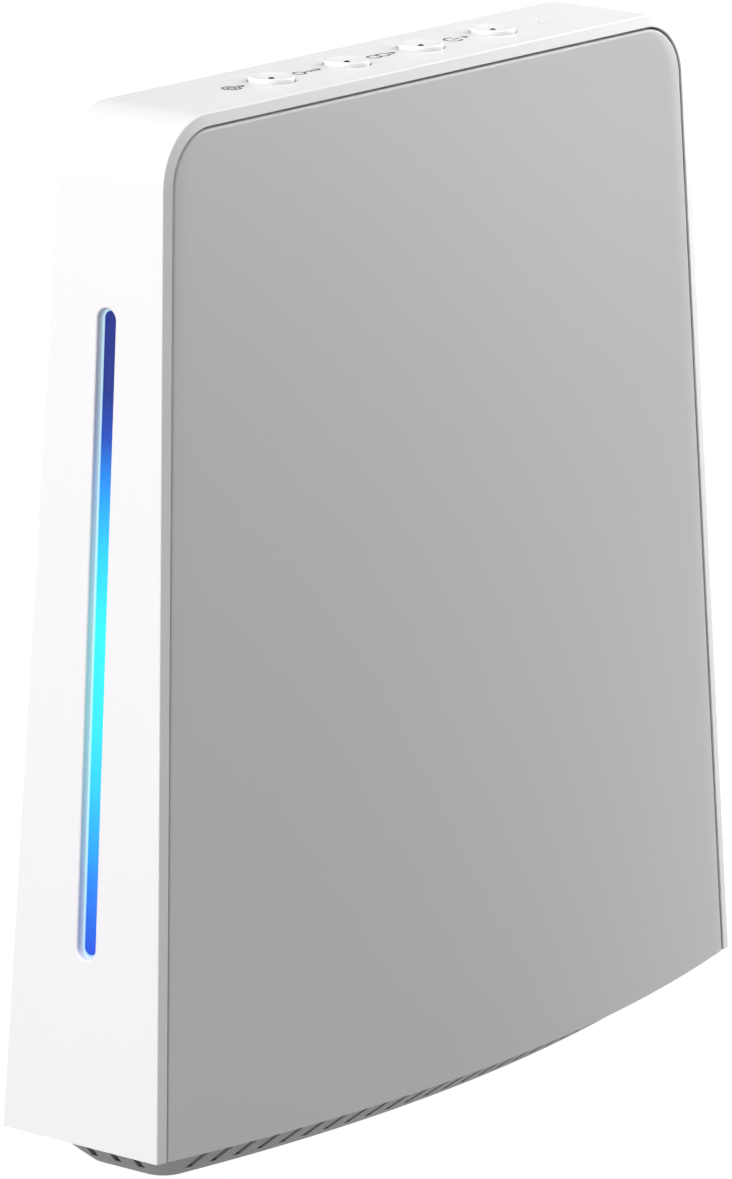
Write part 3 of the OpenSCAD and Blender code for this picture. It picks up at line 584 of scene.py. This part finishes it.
def sweep(section):
    """The solid that a section makes along the band's outline."""
    outlines = {m: arch(m) for m, _, _ in section}
    rows = len(outlines[WALL])
    points = []
    for i in range(rows):
        for m, q, side in section:
            x, z = outlines[m][i]
            points.append(Vector((x, side * (half_d(z) - q), z)))
    return points, tube_faces(rows, len(section))


BUTTONS = ["settings", "lock", "pairing", "power"]
CAP_FLANGE = 0.8 * MM
CAP_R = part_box("lock_cap")[1].y - CAP_FLANGE
CAP_GAP = 0.15 * MM
PORT_GAP = 0.25 * MM
MIC_D = 0.8 * MM
RESET_D = 1.5 * MM

# Rounded edges of the light bar's slot, the ports and the holes in the top
SLOT_EDGE = 0.22 * MM
PORT_EDGE = 0.15 * MM
HOLE_EDGE = 0.1 * MM

# Corner radius of each port's window
PORTS = {"rj45_jack": 0.5 * MM, "usb_a_shell": 0.5 * MM, "usb_c_shell": 1.8 * MM}


def middle(node):
    low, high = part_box(node)
    return (low + high) / 2


def beside(node):
    """A placement on the right-hand side, over the middle of a node."""
    centre = middle(node)
    return on_side(1, centre.z) @ upright(centre.y, 0, 0)


def band_cutters():
    """All the openings in the band: slot, button holes, sound hole, ports and reset hole."""
    deep = WALL + 1.5 * MM
    shapes = [plug(on_side(-1, MID_Z), LIGHT_W, LIGHT_LEN, LIGHT_W / 2, mouth(deep, SLOT_EDGE), 10)]
    for button in BUTTONS:
        hole = 2 * (CAP_R + CAP_GAP)
        place = on_top(middle(button + "_cap").x)
        shapes.append(plug(place, hole, hole, hole / 2, mouth(deep, HOLE_EDGE), 16))
    shapes.append(plug(on_top(middle("microphone").x), MIC_D, MIC_D, MIC_D / 2, mouth(deep, HOLE_EDGE)))
    for node, corner in PORTS.items():
        low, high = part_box(node)
        width = high.y - low.y + 2 * PORT_GAP
        height = high.z - low.z + 2 * PORT_GAP
        shapes.append(plug(beside(node), width, height, corner, mouth(deep, PORT_EDGE), 6))
    place = beside("reset_plunger")
    shapes.append(plug(place, RESET_D, RESET_D, RESET_D / 2, mouth(deep, PORT_EDGE)))
    return joined("band_cutters", shapes)


shell = joined("white_band", [sweep(band_section())])
cut(shell, band_cutters())
smooth(shell)
keep(shell, "housing", "white_shell", FINISHES["white_shell"], "shell_band")


# ---------------------------------------------------------------------------
# The bowed panels
# ---------------------------------------------------------------------------


def panel_grid(margin, columns):
    """Rows of (x, z) over the panel's face, a margin inside the band's outline."""
    side_steps, corner_steps = 40, 18
    outline = arch(margin, side_steps, corner_steps, top_steps=2)
    left_half = outline[:side_steps + corner_steps + 1]
    return [[(x * (1 - 2 * j / columns), z) for j in range(columns + 1)] for x, z in left_half]


def border(grid):
    """The grid's border, once around: up the left, along the top, down the right, along the foot."""
    left = [row[0] for row in grid]
    right = [row[-1] for row in reversed(grid)]
    return left + grid[-1][1:-1] + right + list(reversed(grid[0][1:-1]))


def panel(name, side):
    """A bowed panel with a rounded edge. side is -1 for the front and 1 for the rear."""
    columns, edge, steps = 48, 0.3 * MM, 4
    inner = panel_grid(PANEL_IN + edge, columns)
    points = [Vector((x, side * panel_y(x, z), z)) for row in inner for x, z in row]
    across = columns + 1
    faces = []
    for i in range(len(inner) - 1):
        for j in range(columns):
            a = i * across + j
            faces.append([a, a + 1, a + across + 1, a + across])
    count = len(inner)
    loop = [i * across for i in range(count)]
    loop += [(count - 1) * across + j for j in range(1, columns)]
    loop += [i * across + columns for i in reversed(range(count))]
    loop += list(reversed(range(1, columns)))
    depths = []
    for step in range(1, steps + 1):
        turn = math.pi / 2 * step / steps
        depths.append((PANEL_IN + edge * (1 - math.sin(turn)), edge * (1 - math.cos(turn))))
    depths.append((PANEL_IN, PANEL_T))
    for margin, depth in depths:
        ring = border(panel_grid(margin, columns))
        start = len(points)
        for x, z in ring:
            points.append(Vector((x, side * (panel_y(x, z) - depth), z)))
        here = list(range(start, start + len(ring)))
        for k in range(len(ring)):
            n = (k + 1) % len(ring)
            faces.append([loop[k], loop[n], here[n], here[k]])
        loop = here
    back = len(points)
    outer = panel_grid(PANEL_IN, columns)
    for row in outer:
        for x, z in row:
            points.append(Vector((x, side * (panel_y(x, z) - PANEL_T), z)))
    for i in range(count - 1):
        for j in range(columns):
            a = back + i * across + j
            faces.append([a, a + 1, a + across + 1, a + across])
    thing = mesh_object(name, points, faces)
    shape = bmesh.new()
    shape.from_mesh(thing.data)
    bmesh.ops.remove_doubles(shape, verts=shape.verts, dist=0.002 * MM)
    bmesh.ops.recalc_face_normals(shape, faces=shape.faces)
    shape.to_mesh(thing.data)
    shape.free()
    thing.data.shade_smooth()
    thing.data.set_sharp_from_angle(angle=math.radians(50))
    return thing


for panel_name, panel_side in [("front_panel", -1), ("rear_panel", 1)]:
    face = panel(panel_name + "_face", panel_side)
    keep(face, "housing", "grey_panel", FINISHES["grey_panel"], panel_name)


# ---------------------------------------------------------------------------
# The base tray
# ---------------------------------------------------------------------------

TRAY_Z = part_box("base_tray")[0].z
TRAY_TOP_Z = FOOT_Z - 0.05 * MM
TRAY_FLARE = 3.8 * MM
TRAY_T = 1.5 * MM
TRAY_FOOT_X = FOOT_HALF_W - 6.9 * MM
TRAY_FOOT_Y = FOOT_HALF_D - 4.7 * MM
TRAY_BOW = 0.68
TRAY_CORNER = 2.6 * MM
TRAY_LEAST_CORNER = 0.6 * MM
TRAY_EDGE = 0.35 * MM


def tray_outline(out, bow, corner, side_steps=36, corner_steps=8, end_steps=6):
    """The tray's outline, once around, as (x, y)."""
    base_x = TRAY_FOOT_X + out - corner
    base_y = TRAY_FOOT_Y + out - corner
    quarter = []
    for i in range(side_steps + 1):
        u = i / side_steps
        normal = Vector((2 * bow * u / base_x, 1)).normalized()
        quarter.append((u * base_x, base_y + bow * (1 - u * u), *normal))
    start = math.atan2(quarter[-1][3], quarter[-1][2])
    for i in range(1, corner_steps + 1):
        turn = start * (1 - i / corner_steps)
        quarter.append((base_x, base_y, math.cos(turn), math.sin(turn)))
    for i in range(1, end_steps + 1):
        quarter.append((base_x, base_y * (1 - i / end_steps), 1, 0))
    quarter = [(x + corner * nx, y + corner * ny) for x, y, nx, ny in quarter]
    half = quarter + [(x, -y) for x, y in reversed(quarter[:-1])]
    return half + [(-x, y) for x, y in reversed(half[1:-1])]


def tray_ring(z, inset):
    """The outline at a height on the sloping wall, moved in by an inset."""
    t = (z - TRAY_Z) / (TRAY_TOP_Z - TRAY_Z)
    bow = BULGE * (TRAY_BOW + (1 - TRAY_BOW) * t)
    corner = max(TRAY_LEAST_CORNER, TRAY_CORNER - inset)
    return [Vector((x, y, z)) for x, y in tray_outline(TRAY_FLARE * t - inset, bow, corner)]


def tray_shape():
    """The bowl: its rounded foot, sloping wall, upper edge, inner wall and floor."""
    slope = math.atan2(TRAY_FLARE, TRAY_TOP_Z - TRAY_Z)
    levels = []
    for step in range(5):
        turn = (math.pi / 2 - slope) * step / 4
        levels.append((TRAY_Z + TRAY_EDGE * (1 - math.cos(turn)), TRAY_EDGE * (1 - math.sin(turn))))
    first = levels[-1][0]
    for step in range(1, 5):
        levels.append((first + (TRAY_TOP_Z - first) * step / 4, 0))
    levels.append((TRAY_TOP_Z, TRAY_T))
    levels.append((TRAY_Z + TRAY_T, TRAY_T))
    points = []
    for z, inset in levels:
        points += tray_ring(z, inset)
    return points, tube_faces(len(levels), len(tray_ring(TRAY_Z, 0)))


VENT_W = 0.9 * MM
VENT_PITCH = 3 * MM
VENT_LOW = TRAY_Z + MM
VENT_HIGH = FOOT_Z - 0.2 * MM
VENT_CORNER = 0.1 * MM
VENT_FROM_END = 2 * MM
END_VENT_LEN = 9 * MM


def vents():
    """Vent slots at even steps along each side of the tray, square to that side."""
    upwards = [(0, 0), (0, VENT_HIGH - VENT_LOW)]
    long_y = 1.25 * FOOT_HALF_D
    end_x = TRAY_FOOT_X + 2.9 * MM
    count = int((TRAY_FOOT_X - VENT_FROM_END) / VENT_PITCH)
    parts = []
    for i in range(-count, count + 1):
        for side in (-1, 1):
            place = upright(i * VENT_PITCH, side * long_y, VENT_LOW)
            parts.append(plug(place, VENT_W, 2 * FOOT_HALF_D, VENT_CORNER, upwards, 2))
    for i in (-1, 0, 1):
        for side in (-1, 1):
            place = upright(side * end_x, i * VENT_PITCH, VENT_LOW)
            parts.append(plug(place, END_VENT_LEN, VENT_W, VENT_CORNER, upwards, 2))
    return joined("vent_cutters", parts)


tray = joined("vented_tray", [tray_shape()])
cut(tray, vents())
smooth(tray, 40)
keep(tray, "housing", "grey_tray", FINISHES["grey_tray"], "base_tray")


# ---------------------------------------------------------------------------
# Light bar, caps, feet and symbols
# ---------------------------------------------------------------------------

LIGHT_RECESS = 0.8 * MM
LENS_SLIP = 0.05 * MM
LENS_EDGE = 0.15 * MM
FLANGE_W = 5 * MM
FLANGE_END = 2 * MM
FLANGE_CORNER = 0.3 * MM
FLANGE_T = 1 * MM


def lens():
    """The light bar's lens, rounded at its face, and the flange that holds it inside the wall."""
    place = on_side(-1, MID_Z)
    width = LIGHT_W - 2 * LENS_SLIP
    length = LIGHT_LEN - 2 * LENS_SLIP
    seat = -WALL - LENS_SLIP
    bar = plug(place, width, length, width / 2, rounded_end(seat, -LIGHT_RECESS, LENS_EDGE), 12)
    flange_len = LIGHT_LEN + 2 * FLANGE_END
    flange = plug(place, FLANGE_W, flange_len, FLANGE_CORNER, [(0, seat - FLANGE_T), (0, seat)])
    return joined("light_bar_lens", [bar, flange])


keep(smooth(lens()), "housing", "light_lens", FINISHES["light_lens"], "light_lens")

CAP_EDGE = 0.25 * MM
CAP_FLANGE_T = 0.7 * MM
DISH_DEPTH = 0.3 * MM
DISH_R = CAP_R - 0.35 * MM
PIN_HOLE_R = 0.35 * MM


def cap(button):
    """A round cap with a rounded edge, a dished top, a hole for its light pin and a flange below."""
    low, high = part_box(button + "_cap")
    centre = middle(button + "_cap")
    centre.z = 0
    flange_r = (high.x - low.x) / 2
    flange_top = low.z + CAP_FLANGE_T
    profile = [(PIN_HOLE_R, low.z), (flange_r, low.z), (flange_r, flange_top), (CAP_R, flange_top)]
    edge_steps, dish_steps = 6, 10
    for step in range(edge_steps + 1):
        turn = math.pi / 2 * step / edge_steps
        r = CAP_R - CAP_EDGE * (1 - math.cos(turn))
        profile.append((r, high.z - CAP_EDGE * (1 - math.sin(turn))))
    for step in range(dish_steps + 1):
        r = DISH_R + (PIN_HOLE_R - DISH_R) * step / dish_steps
        profile.append((r, high.z - DISH_DEPTH * (1 - (r / DISH_R) ** 2)))
    return smooth(joined(button + "_button_cap", [ring_lathe(centre, profile, 96)]), 40)


def light_pin(button):
    """The dark light pin in the middle of a cap, whose end is a low dome."""
    low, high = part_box(button + "_light_pin")
    centre = middle(button + "_light_pin")
    centre.z = 0
    r = (high.x - low.x) / 2
    profile = [(r, low.z), (r, high.z)]
    for tenths in range(3, 15, 3):
        turn = tenths / 10
        profile.append((r * math.cos(turn), high.z + 0.4 * r * math.sin(turn)))
    return smooth(joined(button + "_pin", [lathe(centre, profile, 32)]), 50)


for button in BUTTONS:
    body = button + "_button"
    keep(cap(button), body, "white_shell", FINISHES["white_shell"], button + "_cap")
    keep(light_pin(button), body, "smoked_pin", FINISHES["smoked_pin"], button + "_light_pin")

END_FOOT = (5.6 * MM, 7 * MM)
LONG_FOOT = (26 * MM, 3 * MM)
FOOT_CORNER = 0.8 * MM
FOOT_EDGE = 0.15 * MM


def foot_pads():
    """The rubber feet, with rounded corners and edges."""
    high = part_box("rubber_feet")[1]
    profile = [(-FOOT_EDGE, 0), (0, FOOT_EDGE), (0, high.z)]
    parts = []
    for end in (-1, 1):
        place = upright(end * (high.x - END_FOOT[0] / 2), 0, 0)
        parts.append(plug(place, *END_FOOT, FOOT_CORNER, profile))
        place = upright(0, end * (high.y - LONG_FOOT[1] / 2), 0)
        parts.append(plug(place, *LONG_FOOT, FOOT_CORNER, profile))
    return smooth(joined("foot_pads", parts))


keep(foot_pads(), "housing", "rubber_foot", FINISHES["rubber_foot"], "rubber_feet")

INK = moulded("symbol_ink", (0.10, 0.095, 0.105), 0.5, grain=0.05 * MM, depth=0.001 * MM)
INK_T = 0.012 * MM
LINE = 0.23 * MM


def stroke(path, closed):
    """A printed line along a path of (x, y), as a thin closed strip."""
    count = len(path)
    left, right = [], []
    for i, point in enumerate(path):
        before = path[(i - 1) % count] if closed or i else point
        after = path[(i + 1) % count] if closed or i < count - 1 else point
        along_in = Vector(point) - Vector(before)
        along_out = Vector(after) - Vector(point)
        along = (along_in.normalized() + along_out.normalized()).normalized()
        normal = Vector((-along.y, along.x))
        reach = LINE / 2
        if along_in.length and along_out.length:
            reach /= max(0.5, abs(normal.dot(Vector((-along_in.y, along_in.x)).normalized())))
        left.append(Vector(point) + normal * reach)
        right.append(Vector(point) - normal * reach)
    points = []
    for flat, z in [(left, 0), (left, INK_T), (right, INK_T), (right, 0)]:
        points += [(p.x, p.y, z) for p in flat]
    faces = []
    last = count if closed else count - 1
    for side in range(4):
        other = (side + 1) % 4
        for i in range(last):
            n = (i + 1) % count
            faces.append([side * count + i, side * count + n, other * count + n, other * count + i])
    if not closed:
        faces.append([side * count for side in (0, 1, 2, 3)])
        faces.append([side * count + count - 1 for side in (3, 2, 1, 0)])
    return points, faces


def arc(x, y, r, start, end, steps=24):
    points = []
    for i in range(steps + 1):
        turn = math.radians(start + (end - start) * i / steps)
        points.append((x + r * math.cos(turn), y + r * math.sin(turn)))
    return points


def circle(x, y, r, steps=24):
    return arc(x, y, r, 0, 360 - 360 / steps, steps - 1)


def arrow(x, y):
    """A small solid triangle that points at the button."""
    w, h = 0.8 * MM, 1.0 * MM
    corners = [(x, y - h / 2), (x, y + h / 2), (x + w, y)]
    points = [(px, py, z) for z in (0, INK_T) for px, py in corners]
    return points, [[0, 1, 2], [5, 4, 3], [0, 3, 4, 1], [1, 4, 5, 2], [2, 5, 3, 0]]


def rounded_loop(x, y, width, height):
    return [(x + px, y + py) for px, py in rounded_outline(width, height, 0.35 * width, 4)]


# Each symbol as its distance from the cap's middle and its lines, which are closed or open
SYMBOLS = {
    "settings": (5.85 * MM, [
        (circle(0, 0, 0.98 * MM, 6), True),
        (circle(0, 0, 0.42 * MM), True),
    ]),
    "lock": (6.6 * MM, [
        (circle(-0.6 * MM, 0, 0.62 * MM), True),
        ([(0, 0), (1.5 * MM, 0), (1.5 * MM, -0.55 * MM)], False),
        ([(0.95 * MM, 0), (0.95 * MM, -0.4 * MM)], False),
    ]),
    "pairing": (6.5 * MM, [
        (rounded_loop(-0.72 * MM, 0, 1.5 * MM, 1.2 * MM), True),
        (rounded_loop(0.72 * MM, 0, 1.5 * MM, 1.2 * MM), True),
    ]),
    "power": (6.3 * MM, [
        (arc(0, 0, 0.92 * MM, 40, 320), False),
        ([(0, 0), (1.1 * MM, 0)], False),
    ]),
}
SYMBOL_Y = 0.3 * MM
ARROW_X = -4.6 * MM


def symbol(button):
    """The printed symbol beside a button, and its arrow."""
    away, lines = SYMBOLS[button]
    centre = middle(button + "_cap").x
    parts = []
    for path, closed in lines:
        parts.append(stroke([(centre - away + x, SYMBOL_Y + y) for x, y in path], closed))
    parts.append(arrow(centre + ARROW_X, SYMBOL_Y))
    place = on_top(0)
    raised = [([place @ Vector(p) for p in points], faces) for points, faces in parts]
    return joined(button + "_symbol", raised)


for button in BUTTONS:
    keep(symbol(button), "housing", "smoked_pin", INK)


# ---------------------------------------------------------------------------
# Stage, light and camera
# ---------------------------------------------------------------------------

FLOOR_GLOW = 1.0


def floor():
    """A white floor that glows evenly, so that it shows next to no shadow."""
    reach, low = 6.0, -0.02 * MM
    corners = [(x * reach, y * reach, low) for x, y in [(-1, -1), (1, -1), (1, 1), (-1, 1)]]
    thing = mesh_object("floor", corners, [[0, 1, 2, 3]])
    pale = Finish("floor_paint", (0.12, 0.12, 0.12), 1.0, Specular_IOR_Level=0.0)
    speckle = pale.noise(60 * MM)
    pale.feed("Base Color", pale.tint(speckle, (0.11, 0.11, 0.11), (0.13, 0.13, 0.13)))
    pale.feed("Emission Color", pale.tint(speckle, (0.96, 0.96, 0.96), (1, 1, 1)))
    pale.shader.inputs["Emission Strength"].default_value = FLOOR_GLOW
    thing.data.materials.append(pale.material)
    thing.visible_diffuse = False


def soft_light(name, azimuth, elevation, distance, size, watts):
    """A square soft light in a direction from the object's middle, and turned towards it."""
    lamp = bpy.data.lights.new(name, "AREA")
    lamp.size = size
    lamp.energy = watts
    thing = bpy.data.objects.new(name, lamp)
    bpy.context.scene.collection.objects.link(thing)
    away = direction(azimuth, elevation) * distance
    thing.location = Vector((0, 0, MID_Z)) + away
    thing.rotation_euler = away.to_track_quat("Z", "Y").to_euler()
    thing.visible_camera = False


def direction(azimuth, elevation):
    """The direction towards a viewer who looks along an azimuth from an elevation."""
    a, e = math.radians(azimuth), math.radians(elevation)
    return Vector((math.sin(a) * math.cos(e), -math.cos(a) * math.cos(e), math.sin(e)))


def camera():
    """The camera, with a small roll and shift."""
    azimuth, elevation, roll, distance = -51.9, 13.8, 0.263, 0.7926
    back = direction(azimuth, elevation)
    a, t = math.radians(azimuth), math.radians(roll)
    right = Vector((math.cos(a), math.sin(a), 0))
    up = back.cross(right)
    across = right * math.cos(t) + up * math.sin(t)
    upwards = up * math.cos(t) - right * math.sin(t)
    lens_data = bpy.data.cameras.new("camera")
    lens_data.lens = 237.3
    lens_data.sensor_width = 36
    lens_data.shift_x = -0.0134
    lens_data.shift_y = -0.0321
    thing = bpy.data.objects.new("camera", lens_data)
    bpy.context.scene.collection.objects.link(thing)
    thing.matrix_world = frame_at(Vector((0, 0, MID_Z)) + back * distance, across, upwards, back)
    bpy.context.scene.camera = thing


def sky(strength):
    world = bpy.data.worlds.new("studio")
    world.use_nodes = True
    background = world.node_tree.nodes["Background"]
    background.inputs["Color"].default_value = (1, 1, 1, 1)
    background.inputs["Strength"].default_value = strength
    bpy.context.scene.world = world


floor()
sky(0.254)
soft_light("left_box", -100, 42, 0.9, 0.6, 6.9)
soft_light("low_left_box", -90, 8, 0.9, 0.6, 2.0)
soft_light("right_box", 75, 20, 0.3, 0.2, 0.8)
soft_light("upper_right_box", 60, 45, 0.35, 0.2, 0.345)
camera()
bpy.context.scene.view_settings.view_transform = "Standard"
